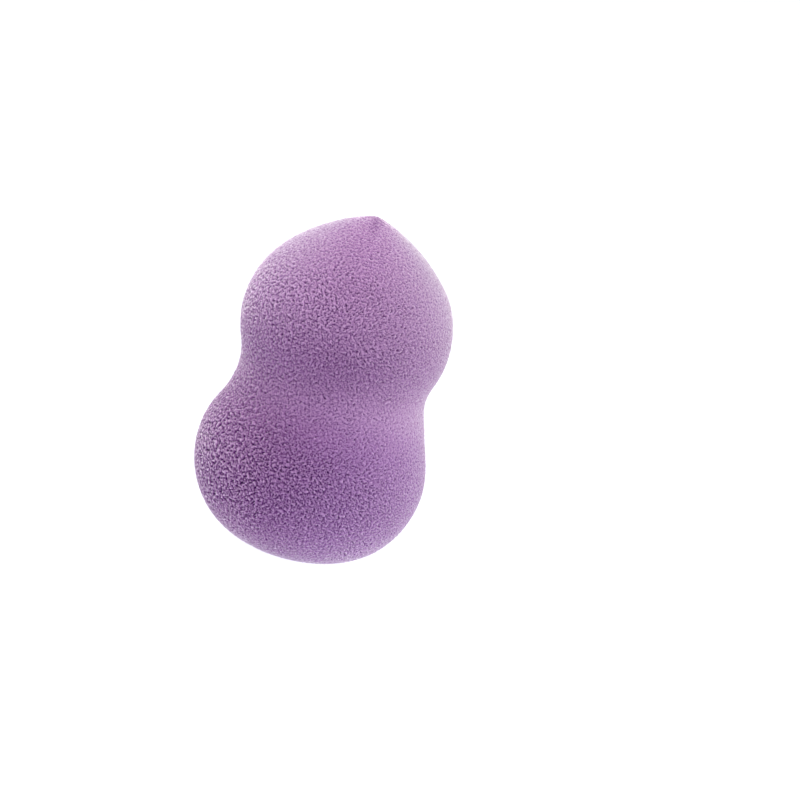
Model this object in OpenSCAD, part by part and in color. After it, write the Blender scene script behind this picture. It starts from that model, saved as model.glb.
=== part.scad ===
// Makeup sponge: a gourd-shaped block of soft foam with a blunt round base, a waist and a shallow point.
// It stands upright: +Z is its turning axis and the resting flat is at Z = 0. All lengths are in mm.
// The outline is a chain of arcs that run smoothly into each other, turned once around the axis.

/* [Whole sponge] */
// Height from the resting flat to the point
total_h = 60.6; // [58:0.2:68]
// Depth taken off the base dome to make the small flat that the sponge settles on
rest_cut = 0.5; // [0.3:0.05:1.2]

/* [Base and lower lobe] */
// Diameter at the widest level of the lower lobe
lower_d = 40; // [38:0.5:42]
// Radius of the outline arc around the lower lobe
lower_arc = 16.1; // [15:0.1:17]
// Radius of the shallow dome under the base
base_arc = 27; // [25:0.5:32]

/* [Waist] */
// Diameter at the narrowest level
waist_d = 32.5; // [30:0.5:34]
// Height of the narrowest level
waist_at = 30.8; // [29:0.2:32]

/* [Upper lobe and point] */
// Diameter at the widest level of the upper lobe
upper_d = 36.5; // [35:0.5:39]
// Height of the widest level of the upper lobe
upper_at = 40.9; // [39:0.1:43]
// Radius of the outline arc around the upper lobe
upper_arc = 16.6; // [15.5:0.1:17]
// Radius of the long outline arc that runs up to the point
crown_arc = 30; // [26:1:45]
// Radius that blunts the point
tip_arc = 0.9; // [0.5:0.1:2]

/* [Part to show] */

/* [Hidden] */
// Fineness of the drawn circles; the handed-over solid has true arcs
arc_steps = 180;
foam_colour = [0.63, 0.46, 0.68];
// Hair by which a round arc laps over its neighbours, so that they join without a sliver
lap = 0.0005;

lower_r = lower_d / 2;
waist_r = waist_d / 2;
upper_r = upper_d / 2;

// Arc centres, first distance from the axis and then height
base_c = [0, base_arc - rest_cut];
lower_in = lower_r - lower_arc;
lower_at = base_c[1] - sqrt(pow(base_arc - lower_arc, 2) - pow(lower_in, 2));
lower_c = [lower_in, lower_at];
upper_c = [upper_r - upper_arc, upper_at];

// Radius of the hollow arc that leaves the waist upright and meets a lobe's arc without a kink
function hollow_arc(lobe_arc, lobe_in, rise) =
    let (inset = waist_r - lobe_in)
    (pow(inset, 2) + pow(rise, 2) - pow(lobe_arc, 2)) / (2 * (lobe_arc - inset));

low_hollow = hollow_arc(lower_arc, lower_c[0], waist_at - lower_at);
high_hollow = hollow_arc(upper_arc, upper_c[0], upper_at - waist_at);

// Heights at which one arc hands over to the next
dome_end = base_c[1] - base_arc * (base_c[1] - lower_at) / (base_arc - lower_arc);
hollow_start = lower_at + lower_arc * (waist_at - lower_at) / (lower_arc + low_hollow);
hollow_end = upper_at - upper_arc * (upper_at - waist_at) / (upper_arc + high_hollow);

// The crown arc is tangent to the upper lobe's arc and to the arc that blunts the point
tip_c = [0, total_h - tip_arc - lap];
lobe_gap = crown_arc - upper_arc;
tip_gap = crown_arc - tip_arc;
span = norm(tip_c - upper_c);
along = (pow(span, 2) + pow(lobe_gap, 2) - pow(tip_gap, 2)) / (2 * span);
aside = sqrt(pow(lobe_gap, 2) - pow(along, 2));
toward = (tip_c - upper_c) / span;
crown_c = upper_c + along * toward + aside * [-toward[1], toward[0]];
crown_start = crown_c[1] + crown_arc * (upper_at - crown_c[1]) / lobe_gap;
crown_end = crown_c[1] + crown_arc * (tip_c[1] - crown_c[1]) / tip_gap;

module disc(centre, radius) {
    translate(centre) circle(r = radius, $fn = arc_steps);
}

// A layer of the outline between two heights, from the axis out to the given radius
module layer(from, to, out) {
    translate([0, from]) square([out, to - from]);
}

// The shallow dome of the base and the long slope up to the point
module dome(from, to, centre, radius) {
    intersection() {
        layer(from, to, lower_d);
        disc(centre, radius);
    }
}

// Half of the neck, hollowed by one arc
module neck(from, to, radius) {
    difference() {
        layer(from, to, waist_r + radius);
        disc([waist_r + radius, waist_at], radius);
    }
}

module half_outline() {
    intersection() {
        layer(0, total_h + tip_arc, lower_d);
        union() {
            dome(0, dome_end, base_c, base_arc);
            disc(lower_c, lower_arc + lap);
            neck(hollow_start, waist_at, low_hollow);
            neck(waist_at, hollow_end, high_hollow);
            disc(upper_c, upper_arc + lap);
            dome(crown_start, crown_end, crown_c, crown_arc);
            disc(tip_c, tip_arc + lap);
        }
    }
}

// The whole sponge is one block of foam, cut and ground to shape
module foam_body() {
    color(foam_colour) rotate_extrude($fn = arc_steps) half_outline();
}

foam_body();
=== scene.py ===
"""A gourd-shaped foam makeup sponge on a pale floor. Lengths are in metres unless a name says otherwise."""

import math

import bpy
import numpy as np
from mathutils import Matrix, Vector


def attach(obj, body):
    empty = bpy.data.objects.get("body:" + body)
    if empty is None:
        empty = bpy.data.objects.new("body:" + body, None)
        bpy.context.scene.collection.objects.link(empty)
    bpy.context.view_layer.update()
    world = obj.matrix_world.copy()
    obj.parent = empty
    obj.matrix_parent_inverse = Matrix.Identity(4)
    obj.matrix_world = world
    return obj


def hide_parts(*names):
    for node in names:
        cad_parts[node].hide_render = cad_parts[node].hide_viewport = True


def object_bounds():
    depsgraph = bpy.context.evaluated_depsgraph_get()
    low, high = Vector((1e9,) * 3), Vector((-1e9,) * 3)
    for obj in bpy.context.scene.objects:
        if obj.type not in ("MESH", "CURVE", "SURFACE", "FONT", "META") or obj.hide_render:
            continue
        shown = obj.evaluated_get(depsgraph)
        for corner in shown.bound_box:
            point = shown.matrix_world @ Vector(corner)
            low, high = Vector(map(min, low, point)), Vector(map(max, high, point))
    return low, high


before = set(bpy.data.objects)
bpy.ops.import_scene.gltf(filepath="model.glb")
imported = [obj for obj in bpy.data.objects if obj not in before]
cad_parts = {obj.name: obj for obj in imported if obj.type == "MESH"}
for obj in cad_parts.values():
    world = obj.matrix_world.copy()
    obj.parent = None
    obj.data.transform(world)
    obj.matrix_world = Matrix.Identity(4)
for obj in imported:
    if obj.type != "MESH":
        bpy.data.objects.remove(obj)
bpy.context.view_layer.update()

MM = 0.001
NODE = "foam_body"

# Half the sponge's width and about half its height: places on it are told as shares of these
HALF_WIDTH, HALF_HEIGHT = 20 * MM, 30 * MM

# Skin mesh
GRID_STEP = 0.16 * MM
SMALLEST_RING = 6
TRIANGLE_HEIGHT = math.sqrt(0.75)
OUTLINE_STEP = 0.05 * MM
OUTLINE_SOFTNESS = 0.45 * MM
SOFTNESS_REACH = 3
LENGTH_DIGITS = 7
SHORTEST_LENGTH = 1e-7
FLOOR_LEVEL = 1e-6
CLOSEST_TO_AXIS = 1 * MM
BAKE_MAP_WIDTH = 0.99

# Noise: the lattice's size is a power of two
LATTICE_SIZE = 4096
NOISE_GAIN = 1.8
FINE_SEED, COARSE_SEED, LUMP_SEED = 5, 6, 11

# Foam surface: pits about 0.9 mm apart between low ridges, over broad lumps
PIT_DEPTH, RIDGE_HEIGHT, SURFACE_LIFT = 0.33 * MM, 0.03 * MM, 0.03 * MM
PIT_SHARPNESS = 3.0
OPENNESS_OF_FULL_RELIEF = 1.0
LUMP_SIZE, LUMP_HEIGHT = 9.0 * MM, 0.08 * MM

# Two sizes of crumbs: the share of the one round that softens them, and how many rounds of the broad
# share make the even background that is taken away from them
FINE_CRUMBS, COARSE_CRUMBS = (0.08, 11), (0.2, 22)
BROAD_SHARE = 0.15

# Share of the coarse crumbs: in the middle, more to the left, more still low down, and at most
COARSE_MIDDLE, COARSE_LEFTWARD, COARSE_LOWER, COARSE_MOST = 0.06, 0.65, 0.15, 0.7

# Openness: left and right differ less at the back, between these two depths
BACK_FADE, BACK_SHARE = (4 * MM, 17 * MM), 0.35
OPEN_ACROSS, OPEN_LEFTWARD, OPEN_MOST = 1.12, 0.42, 2.1
OPEN_LOW_LEFT, OPEN_HIGH_LEFT = 1.15, 0.55
LOW_LEFT_FADE, LOW_LEFT_MOST, LOW_LEFT_START = (9 * MM, 33 * MM), 2.0, 0.2
OPEN_UPRIGHT, CLOSED_UPWARD, CLOSED_WAIST, CLOSED_UPPER_RIM = 1.1, 0.37, 0.55, 0.6
DENSE_WAIST_HEIGHT, DENSE_WAIST_SPREAD = 26.5 * MM, 8.5 * MM

# Upper rim: the two sides of the top, which get a painted sheen, paler and greyer, and are denser
UPPER_RIM_HEIGHT, UPPER_RIM_SPREAD = 60 * MM, 14 * MM
UPPER_RIM_START = 6 * MM

# Foam colour from the crest of a ridge, at 0, to the bottom of a pit, at 1: partly the foam's own darker
# inside, and partly painted shade in the pits and painted light on the crests
FOAM_COLOURS = (
    (0.0, (0.573, 0.353, 0.612, 1)),
    (0.14, (0.485, 0.285, 0.525, 1)),
    (0.5, (0.262, 0.115, 0.306, 1)),
    (0.86, (0.085, 0.002, 0.125, 1)),
    (1.0, (0.02, 0.0, 0.045, 1)),
)
MIDDLE_PORE = 0.5
PIT_COLOUR_RANGE = 4.6
USUAL_PIT = 0.42
RIDGE_COLOUR_SHARE = 0.4
PAINTED_LIGHT_SHARE = 0.72
CREST_SHEEN, PIT_SHEEN = 1.13, 0.23
SHEEN_ROUGHNESS = 0.5
FOAM_ROUGHNESS, FOAM_SPECULAR = 0.9, 0.2

# Waist: a band of painted light, and a fuller shoulder under it at the right
WAIST_HEIGHT, WAIST_SPREAD = 29.3 * MM, 3.9 * MM
WAIST_PAINTED_LIGHT, WAIST_PAINTED_LIGHT_ASIDE = 0.155, 0.06
SHOULDER_HEIGHT, SHOULDER_SPREAD = 26.8 * MM, 3.6 * MM
SHOULDER_SWELL = 0.7 * MM

# Painted light: paler towards the top and the right, where the light falls, and a painted sheen at the upper
# rim
PAINTED_LIGHT_UP, PAINTED_LIGHT_ASIDE, PAINTED_LIGHT_UPPER_RIM = 0.065, 0.02, 0.07

# Patches of painted light (+) and painted shade (-): aside, height, spread aside and spread up in mm, and how
# much. The left shoulder's patch is a painted shadow of the upper lobe, the one at the upper lobe's foot is
# painted shade under that lobe, and the tip's is painted shade in its crease
PAINTED_LIGHT_PATCHES = (
    (-4.0, 46.0, 13.0, 10.0, 0.11),   # upper lobe
    (-5.0, 22.0, 8.0, 6.0, -0.03),    # middle of the lower lobe
    (-18.0, 23.0, 9.0, 7.0, -0.13),   # left shoulder
    (-13.5, 7.5, 9.0, 8.0, -0.35),    # base, at the left
    (-20.0, 15.0, 4.0, 8.0, -0.12),   # left edge of the lower lobe
    (-15.0, 34.5, 4.0, 2.5, -0.05),   # left edge over the waist
    (-11.0, 31.0, 5.0, 4.0, -0.03),   # left of the waist
    (-4.0, 36.5, 16.0, 3.0, -0.05),   # foot of the upper lobe
    (0.3, 59.8, 0.8, 1.3, -0.25),     # pinched tip
)

# Painted light tint: changes to the shares of red, green and blue, for a greyer painted sheen at the right
# and the upper rim, less of it at the left rim, and cooler painted shade low down
GREEN_RIGHTWARD, GREEN_RIGHTWARD_UP = 0.13, 0.6
GREEN_UPPER_RIM, RED_UPPER_RIM, BLUE_UPPER_RIM = 0.15, 0.09, 0.06
GREEN_LEFT_RIM, LEFT_RIM_SHARPNESS = 0.05, 6
BLUE_LOW, BLUE_FADE_ASIDE, BLUE_FADE_UP = 0.08, (-HALF_WIDTH / 2, HALF_WIDTH / 3), (23 * MM, 33 * MM)

# Photograph: the object's place in the 800 by 800 picture, in pixels
PICTURE_SIDE = 800
BOX_MIDDLE = (330.8, 385.4)
PIXELS_ACROSS_LOWER_LOBE = 233.1
AXIS_LEAN_DEGREES = 15.3
CAMERA_ELEVATION_DEGREES = 10.0
LENS_MM, SENSOR_MM = 200.0, 36.0
CLIP_NEAR, CLIP_FAR = 0.01, 10

# Studio: the world's white walls fade out between these two heights over the horizon
WALL_TOP = (0.08, 0.3)
FLOOR_SIDE, FLOOR_GREY, FLOOR_GLOW = 4.0, (0.12, 0.12, 0.12, 1), (1.0, 1.0, 1.1, 1)
LAMPS_AIM = Vector((0, 0, 0.035))
LAMP_COLOUR = (1.0, 0.98, 0.94)

# Lamps: name, degrees round the sponge, degrees over the level, distance with size, and watts
NEAR, FAR = (0.2, 0.08), (0.8, 0.3)
LAMPS = (
    ("overhead", 0, 72, NEAR, 0.30),
    ("left", 270, 40, NEAR, 0.12),
    ("back", 180, 8, FAR, 6.5),
    ("back_left", 225, 40, NEAR, 0.25),
    ("back_right_high", 135, 38, FAR, 1.75),
    ("right_window", 90, 8, FAR, 4.3),
    ("back_left_window", 225, 8, FAR, 1.0),
    ("front_window", 0, 8, FAR, 1.75),
)


class Lattice:
    """Seeded random numbers on a cubic lattice, for noise that is the same on every run."""

    def __init__(self, seed):
        rng = np.random.default_rng(seed)
        self.order = rng.permutation(LATTICE_SIZE)
        self.vectors = rng.normal(size=(LATTICE_SIZE, 3))
        self.vectors /= np.linalg.norm(self.vectors, axis=1)[:, None]

    def keys(self, cell):
        """A number in the lattice's order for each cell."""
        last = LATTICE_SIZE - 1
        x, y, z = (cell[:, axis].astype(np.int64) & last for axis in range(3))
        return self.order[(self.order[(self.order[x] + y) & last] + z) & last]


def gradient_noise(points, size, seed):
    """Smooth noise with about one bump per size, from about -1 to 1."""
    lattice = Lattice(seed)
    place = points / size
    cell = np.floor(place)
    inside = place - cell
    ease = inside ** 3 * (inside * (inside * 6.0 - 15.0) + 10.0)
    total = np.zeros(len(points))
    for corner in np.ndindex(2, 2, 2):
        offset = np.array(corner)
        gradient = lattice.vectors[lattice.keys(cell + offset)]
        weight = np.prod(np.where(offset, ease, 1.0 - ease), axis=1)
        total += weight * np.einsum("ij,ij->i", gradient, inside - offset)
    return total * NOISE_GAIN


def length_along(line):
    """How far along a line each of its points is."""
    return np.concatenate([[0.0], np.cumsum(np.hypot(*np.diff(line, axis=0).T))])


def half_outline():
    """The solid's outline from the base centre to the point, as (radius, height) rows at even steps."""
    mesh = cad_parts[NODE].data
    corners = np.empty(len(mesh.vertices) * 3)
    mesh.vertices.foreach_get("co", corners)
    corners = corners.reshape(-1, 3)
    radius, height = np.hypot(corners[:, 0], corners[:, 1]), corners[:, 2]
    rings = np.unique(np.round(np.stack([height, radius], 1), LENGTH_DIGITS), axis=0)
    rings = rings[rings[:, 0] > FLOOR_LEVEL]
    rest_radius = radius[height < FLOOR_LEVEL].max()
    line = np.vstack([[0.0, 0.0], [0.0, rest_radius], rings, [height.max(), 0.0]])
    length = length_along(line)
    keep = np.concatenate([[True], np.diff(length) > SHORTEST_LENGTH])
    steps = np.arange(0.0, length[-1], OUTLINE_STEP)
    line = np.stack([np.interp(steps, length[keep], line[keep, axis]) for axis in (1, 0)], 1)
    return soften(line)


def soften(line):
    """Rounds the outline a little, as soft foam does, with its mirror image beyond each end."""
    reach = int(SOFTNESS_REACH * OUTLINE_SOFTNESS / OUTLINE_STEP)
    spread = np.exp(-0.5 * (np.arange(-reach, reach + 1) * OUTLINE_STEP / OUTLINE_SOFTNESS) ** 2)
    spread /= spread.sum()
    mirror = np.array([-1.0, 1.0])
    longer = np.vstack([line[reach:0:-1] * mirror, line, line[-2:-reach - 2:-1] * mirror])
    return np.stack([np.convolve(longer[:, axis], spread, "valid") for axis in range(2)], 1)


def ring_grid(line):
    """Even rings of points round the axis.

    Gives their places, their normals, the triangles between them, and each point's shares of a whole turn
    and of the outline's length.
    """
    length = length_along(line)
    count = int(round(length[-1] / (GRID_STEP * TRIANGLE_HEIGHT)))
    stations = np.linspace(0.0, length[-1], count + 1)
    radius, height = (np.interp(stations, length, line[:, axis]) for axis in range(2))
    radius[0] = radius[-1] = 0.0
    along = np.gradient(np.stack([radius, height], 1), axis=0)
    along /= np.linalg.norm(along, axis=1)[:, None]
    around = np.maximum(SMALLEST_RING, np.round(math.tau * radius / GRID_STEP)).astype(int)
    around[0] = around[-1] = 1
    first = np.concatenate([[0], np.cumsum(around)])
    ring = np.repeat(np.arange(count + 1), around)
    angle = math.tau * (np.arange(first[-1]) - first[ring]) / around[ring]
    turn = np.stack([np.cos(angle), np.sin(angle)], 1)
    points = np.column_stack([turn * radius[ring, None], height[ring]])
    normals = np.column_stack([turn * along[ring, 1, None], -along[ring, 0]])
    normals[0], normals[-1] = (0, 0, -1), (0, 0, 1)
    bands = [zip_rings(first[k], around[k], first[k + 1], around[k + 1]) for k in range(count)]
    shares = np.stack([angle / math.tau, ring / count], 1)
    return points, normals, np.vstack(bands), shares


def zip_rings(low_first, low_count, high_first, high_count):
    """Triangles between two rings of different counts."""
    low, high = np.arange(low_count), np.arange(high_count)
    parts = []
    if low_count > 1:
        apex = -((low_count - (2 * low + 1) * high_count) // (2 * low_count)) % high_count
        parts.append(np.stack([low_first + low, low_first + (low + 1) % low_count, high_first + apex], 1))
    if high_count > 1:
        apex = ((2 * high + 1) * low_count - high_count) // (2 * high_count) + 1
        apex %= low_count
        parts.append(np.stack([high_first + (high + 1) % high_count, high_first + high, low_first + apex], 1))
    return np.vstack(parts)


def triangle_sides(points, triangles):
    """Every triangle side both ways, with the weight that lets values spread evenly in all directions."""
    starts, ends, weights = [], [], []
    for corner in range(3):
        apex, left, right = (triangles[:, (corner + step) % 3] for step in range(3))
        to_left, to_right = points[left] - points[apex], points[right] - points[apex]
        across = np.linalg.norm(np.cross(to_left, to_right), axis=1)
        weight = np.einsum("ij,ij->i", to_left, to_right) / (2 * across)
        starts += [left, right]
        ends += [right, left]
        weights += [weight, weight]
    return np.concatenate(starts), np.concatenate(ends), np.concatenate(weights)


def smooth_over(values, sides, share, rounds):
    """Spreads each point's value over its neighbours on the mesh."""
    start, end, weight = sides
    for _ in range(rounds):
        flow = weight * (values[end] - values[start])
        values = values + share * np.bincount(start, weights=flow, minlength=len(values))
    return values


def crumb_noise(count, sides, seed, fine_share, broad_rounds):
    """Random pits and ridges of one size all over the mesh, with a spread of 1."""
    noise = smooth_over(np.random.default_rng(seed).normal(size=count), sides, fine_share, 1)
    noise -= smooth_over(noise, sides, BROAD_SHARE, broad_rounds)
    return noise / noise.std()


def bell(value, middle, spread):
    """1 at the middle, falling off smoothly to both sides."""
    return np.exp(-((value - middle) / spread) ** 2)


def axis_distance(points):
    """Distance from the axis, never 0, so that it can divide."""
    return np.maximum(np.hypot(points[:, 0], points[:, 1]), CLOSEST_TO_AXIS)


def across_and_up(points):
    """From -1 at the left edge to 1 at the right edge, and from -1 at the floor to about 1 at the tip."""
    return points[:, 0] / HALF_WIDTH, (points[:, 2] - HALF_HEIGHT) / HALF_HEIGHT


def milder_at_back(aside, points):
    """The share to the side, cut down towards the back."""
    return aside * np.interp(points[:, 1], BACK_FADE, (1.0, BACK_SHARE))


def upper_rim(points):
    """0 at the front and back, and highest at the two sides of the top."""
    radius = axis_distance(points)
    aside = (np.abs(points[:, 0]) / radius) ** 3 * np.minimum(radius / UPPER_RIM_START, 1.0)
    return aside * bell(points[:, 2], UPPER_RIM_HEIGHT, UPPER_RIM_SPREAD)


def openness(points):
    """How open the foam is: 1 is usual.

    It is coarser at the left and low down, and smoother at the right, at the waist and at the tip. Where it
    is higher, the pits are also painted darker and the crests paler, so the painted shade in the pits is
    deepest at the left and low down.
    """
    aside, above = across_and_up(points)
    aside = milder_at_back(aside, points)
    low = np.interp(points[:, 2], LOW_LEFT_FADE, (LOW_LEFT_MOST, 0.0))
    low_left = low * np.maximum(-aside - LOW_LEFT_START, 0.0)
    high_left = np.maximum(-aside, 0.0) * np.maximum(above, 0.0)
    across = OPEN_ACROSS - OPEN_LEFTWARD * aside + OPEN_LOW_LEFT * low_left + OPEN_HIGH_LEFT * high_left
    waist = bell(points[:, 2], DENSE_WAIST_HEIGHT, DENSE_WAIST_SPREAD)
    upright = OPEN_UPRIGHT - CLOSED_UPWARD * above - CLOSED_WAIST * waist
    return np.minimum(across, OPEN_MOST) * upright * (1 - CLOSED_UPPER_RIM * upper_rim(points))


def painted_light_and_shade(points):
    """How much painted light makes the foam paler than its middle colour, or painted shade makes it darker
    where it is less than 0.
    """
    aside, above = across_and_up(points)
    total = bell(points[:, 2], WAIST_HEIGHT, WAIST_SPREAD) * (WAIST_PAINTED_LIGHT + WAIST_PAINTED_LIGHT_ASIDE * aside)
    total += PAINTED_LIGHT_UP * above + PAINTED_LIGHT_ASIDE * aside + PAINTED_LIGHT_UPPER_RIM * upper_rim(points)
    for x, z, spread_aside, spread_up, amount in PAINTED_LIGHT_PATCHES:
        patch = bell(points[:, 0], x * MM, spread_aside * MM) * bell(points[:, 2], z * MM, spread_up * MM)
        total += amount * patch
    return total


def painted_light_tint(points):
    """Red, green, blue and alpha shares by which the foam's colour is multiplied.

    It paints light into the colour: a greyer painted sheen at the right and at the upper rim, more purple at
    the left rim to hold back the sheen there, and bluer low down at the middle and the right, painted as the
    cooler light in the shade there.
    """
    aside, above = across_and_up(points)
    rim = upper_rim(points)
    left_rim = np.maximum(-points[:, 0] / axis_distance(points), 0.0) ** LEFT_RIM_SHARPNESS
    low = np.interp(points[:, 2], BLUE_FADE_UP, (1.0, 0.0))
    low_right = low * np.interp(points[:, 0], BLUE_FADE_ASIDE, (0.0, 1.0))
    shares = np.ones((len(points), 4))
    shares[:, 0] -= RED_UPPER_RIM * rim
    shares[:, 1] += GREEN_RIGHTWARD * np.maximum(aside, 0.0) * (1 + GREEN_RIGHTWARD_UP * above)
    shares[:, 1] += GREEN_UPPER_RIM * rim - GREEN_LEFT_RIM * left_rim
    shares[:, 2] += BLUE_LOW * low_right - BLUE_UPPER_RIM * rim
    return shares


def shoulder_swell(points):
    """The lower lobe's fuller right shoulder."""
    rightward = np.maximum(points[:, 0] / axis_distance(points), 0.0)
    return SHOULDER_SWELL * bell(points[:, 2], SHOULDER_HEIGHT, SHOULDER_SPREAD) * rightward ** 2


def foam_crumbs(points, sides, openings):
    """Fine crumbs, with coarse ones mixed in at the left, scaled by how open the foam is."""
    aside, above = across_and_up(points)
    leftward = milder_at_back(-aside, points) * (1 - COARSE_LOWER * above)
    coarse = np.clip(COARSE_MIDDLE + COARSE_LEFTWARD * leftward, 0.0, COARSE_MOST)
    crumbs = (1 - coarse) * crumb_noise(len(points), sides, FINE_SEED, *FINE_CRUMBS)
    crumbs += coarse * crumb_noise(len(points), sides, COARSE_SEED, *COARSE_CRUMBS)
    return crumbs * openings / np.hypot(coarse, 1 - coarse)


def foam_relief(points, sides):
    """The foam's height over the smooth outline, and each point's place from crest (0) to pit (1) on the
    colour ramp, which also carries painted light and painted shade.
    """
    openings = openness(points)
    crumbs = foam_crumbs(points, sides, openings)
    pits = np.log1p(np.exp(-PIT_SHARPNESS * crumbs)) / PIT_SHARPNESS
    relief = RIDGE_HEIGHT * crumbs - PIT_DEPTH * pits
    relief *= np.minimum(1.0, OPENNESS_OF_FULL_RELIEF / openings)
    height = SURFACE_LIFT + shoulder_swell(points) + relief
    height += LUMP_HEIGHT * gradient_noise(points, LUMP_SIZE, LUMP_SEED)
    # The pore colour is partly the foam's own darker inside and partly painted shade in the pits and painted
    # light on the crests
    depth = pits - USUAL_PIT * openings - RIDGE_COLOUR_SHARE * crumbs
    pore = MIDDLE_PORE + depth / PIT_COLOUR_RANGE - PAINTED_LIGHT_SHARE * painted_light_and_shade(points)
    return height, np.clip(pore, 0.0, 1.0)


def new_mesh(name, points, triangles):
    """A smooth-shaded mesh of triangles."""
    mesh = bpy.data.meshes.new(name)
    mesh.vertices.add(len(points))
    mesh.vertices.foreach_set("co", points.ravel())
    mesh.loops.add(triangles.size)
    mesh.loops.foreach_set("vertex_index", triangles.ravel().astype(np.int32))
    mesh.polygons.add(len(triangles))
    mesh.polygons.foreach_set("loop_start", np.arange(0, triangles.size, 3, dtype=np.int32))
    mesh.update(calc_edges=True)
    mesh.validate()
    mesh.polygons.foreach_set("use_smooth", np.ones(len(triangles), dtype=bool))
    return mesh


def bake_map(mesh, shares):
    """A flat map of the skin for baking: across is round the axis, up is along the outline."""
    corners = np.empty(len(mesh.loops), dtype=np.int32)
    mesh.loops.foreach_get("vertex_index", corners)
    across, up = (shares[corners, axis].reshape(-1, 3) for axis in range(2))
    across = across + (across.max(axis=1, keepdims=True) - across > 0.5)
    at_end = (up == 0.0) | (up == 1.0)
    others = np.where(at_end, 0.0, across).sum(axis=1) / np.maximum((~at_end).sum(axis=1), 1)
    across = np.where(at_end, others[:, None], across)
    flat = np.stack([across * BAKE_MAP_WIDTH, up], 2).astype(np.float32)
    mesh.uv_layers.new(name="OFBake").data.foreach_set("uv", flat.ravel())


def foam_skin():
    """The sponge's whole surface, with its pores as real hollows."""
    points, normals, triangles, shares = ring_grid(half_outline())
    height, pore = foam_relief(points, triangle_sides(points, triangles))
    painted_light_shares = painted_light_tint(points).astype(np.float32)
    points = points + normals * height[:, None]
    points[:, 2] = np.maximum(points[:, 2], 0.0)
    mesh = new_mesh("foam_skin", points, triangles)
    mesh.attributes.new("pore", "FLOAT", "POINT").data.foreach_set("value", pore.astype(np.float32))
    mesh.attributes.new("painted_light_tint", "FLOAT_COLOR", "POINT").data.foreach_set("color", painted_light_shares.ravel())
    bake_map(mesh, shares)
    skin = bpy.data.objects.new("foam_skin", mesh)
    bpy.context.collection.objects.link(skin)
    return skin


def foam_material():
    """Matt lilac foam: colour and sheen follow the pores, and the colour also carries painted light, painted
    shade and painted sheen.
    """
    material = bpy.data.materials.new("lilac_foam")
    material.use_nodes = True
    nodes, links = material.node_tree.nodes, material.node_tree.links
    shader = nodes["Principled BSDF"]
    shader.inputs["Roughness"].default_value = FOAM_ROUGHNESS
    shader.inputs["Specular IOR Level"].default_value = FOAM_SPECULAR
    shader.inputs["Sheen Roughness"].default_value = SHEEN_ROUGHNESS
    shader.inputs["Sheen Tint"].default_value = (1, 1, 1, 1)
    pore = nodes.new("ShaderNodeAttribute")
    pore.attribute_name = "pore"
    links.new(foam_colour(nodes, links, pore), shader.inputs["Base Color"])
    sheen = nodes.new("ShaderNodeMapRange")
    sheen.inputs["To Min"].default_value, sheen.inputs["To Max"].default_value = CREST_SHEEN, PIT_SHEEN
    links.new(pore.outputs["Fac"], sheen.inputs["Value"])
    links.new(sheen.outputs["Result"], shader.inputs["Sheen Weight"])
    return material


def foam_colour(nodes, links, pore):
    """The output that gives the pore's colour times the skin's painted light tint."""
    ramp = nodes.new("ShaderNodeValToRGB")
    stops = ramp.color_ramp.elements
    stops[0].color, stops[1].color = FOAM_COLOURS[0][1], FOAM_COLOURS[-1][1]
    for place, colour in FOAM_COLOURS[1:-1]:
        stops.new(place).color = colour
    links.new(pore.outputs["Fac"], ramp.inputs["Fac"])
    shares = nodes.new("ShaderNodeAttribute")
    shares.attribute_name = "painted_light_tint"
    tinted = nodes.new("ShaderNodeVectorMath")
    tinted.operation = "MULTIPLY"
    links.new(ramp.outputs["Color"], tinted.inputs[0])
    links.new(shares.outputs["Color"], tinted.inputs[1])
    return tinted.outputs["Vector"]


def white_floor():
    """A floor that stays white in the picture, a little darker only right under the sponge."""
    material = bpy.data.materials.new("pale_floor")
    material.use_nodes = True
    shader = material.node_tree.nodes["Principled BSDF"]
    shader.inputs["Base Color"].default_value = FLOOR_GREY
    shader.inputs["Roughness"].default_value = 1.0
    shader.inputs["Specular IOR Level"].default_value = 0.0
    shader.inputs["Emission Color"].default_value = FLOOR_GLOW
    shader.inputs["Emission Strength"].default_value = 1.0
    bpy.ops.mesh.primitive_plane_add(size=FLOOR_SIDE)
    floor = bpy.context.object
    floor.name = "floor"
    floor.data.materials.append(material)


def soft_light(name, azimuth, elevation, distance, size, watts):
    """A square lamp that looks at the sponge from that many degrees round it and above it."""
    light = bpy.data.lights.new(name, "AREA")
    light.size = size
    light.energy = watts
    light.color = LAMP_COLOUR
    lamp = bpy.data.objects.new(name, light)
    bpy.context.collection.objects.link(lamp)
    turn, rise = math.radians(azimuth), math.radians(elevation)
    away = Vector((math.sin(turn) * math.cos(rise), -math.cos(turn) * math.cos(rise), math.sin(rise)))
    lamp.location = LAMPS_AIM + away * distance
    lamp.rotation_euler = away.to_track_quat("Z", "Y").to_euler()
    lamp.visible_camera = False


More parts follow.
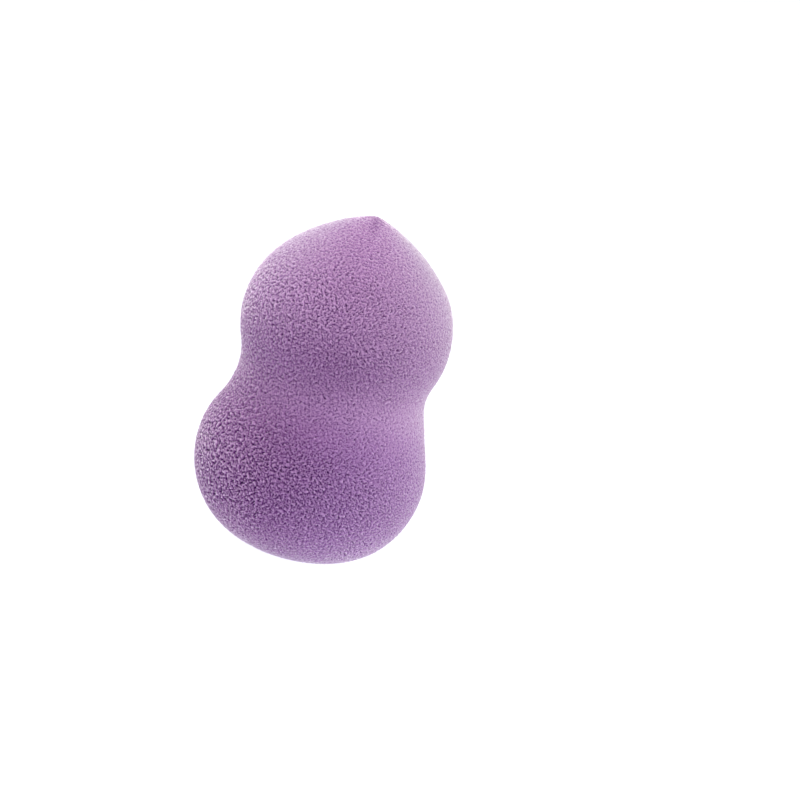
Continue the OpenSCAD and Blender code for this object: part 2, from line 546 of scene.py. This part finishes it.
def white_walls():
    """A world that is white up to a little over the horizon and dark overhead, where the lamps hang."""
    world = bpy.data.worlds.new("white_walls")
    bpy.context.scene.world = world
    world.use_nodes = True
    nodes, links = world.node_tree.nodes, world.node_tree.links
    place = nodes.new("ShaderNodeTexCoord")
    parts = nodes.new("ShaderNodeSeparateXYZ")
    fade = nodes.new("ShaderNodeMapRange")
    fade.inputs["From Min"].default_value, fade.inputs["From Max"].default_value = WALL_TOP
    fade.inputs["To Min"].default_value, fade.inputs["To Max"].default_value = 1.0, 0.0
    links.new(place.outputs["Generated"], parts.inputs[0])
    links.new(parts.outputs["Z"], fade.inputs["Value"])
    links.new(fade.outputs["Result"], nodes["Background"].inputs["Strength"])
    nodes["Background"].inputs["Color"].default_value = (1, 1, 1, 1)


def studio():
    """White walls and soft lamps; azimuth 0 is the camera's side and 90 its right."""
    white_walls()
    for name, azimuth, elevation, (distance, size), watts in LAMPS:
        soft_light(name, azimuth, elevation, distance, size, watts)


def photograph_camera(low, high):
    """Looks from the photograph's side, rolled so that the sponge leans as it does there."""
    data = bpy.data.cameras.new("camera")
    data.lens, data.sensor_width = LENS_MM, SENSOR_MM
    data.clip_start, data.clip_end = CLIP_NEAR, CLIP_FAR
    camera = bpy.data.objects.new("camera", data)
    bpy.context.collection.objects.link(camera)
    bpy.context.scene.camera = camera
    elevation, lean = math.radians(CAMERA_ELEVATION_DEGREES), math.radians(AXIS_LEAN_DEGREES)
    back = Vector((0, -math.cos(elevation), math.sin(elevation)))
    turned = Matrix.Rotation(math.pi / 2 - elevation, 4, "X") @ Matrix.Rotation(lean, 4, "Z")
    right, up = turned.col[0].to_3d(), turned.col[1].to_3d()
    metres_per_pixel = 2 * HALF_WIDTH / PIXELS_ACROSS_LOWER_LOBE
    distance = metres_per_pixel * PICTURE_SIDE * LENS_MM / SENSOR_MM
    aside = (PICTURE_SIDE / 2 - BOX_MIDDLE[0]) * metres_per_pixel
    above = (BOX_MIDDLE[1] - PICTURE_SIDE / 2) * metres_per_pixel
    turned.translation = (low + high) / 2 + right * aside + up * above + back * distance
    camera.matrix_world = turned


low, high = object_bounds()
photograph_camera(low, high)
studio()
white_floor()
skin = foam_skin()
skin.data.materials.append(foam_material())
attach(skin, "root")
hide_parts(NODE)

scene = bpy.context.scene
scene.view_settings.view_transform = "Standard"
scene.cycles.use_denoising = True
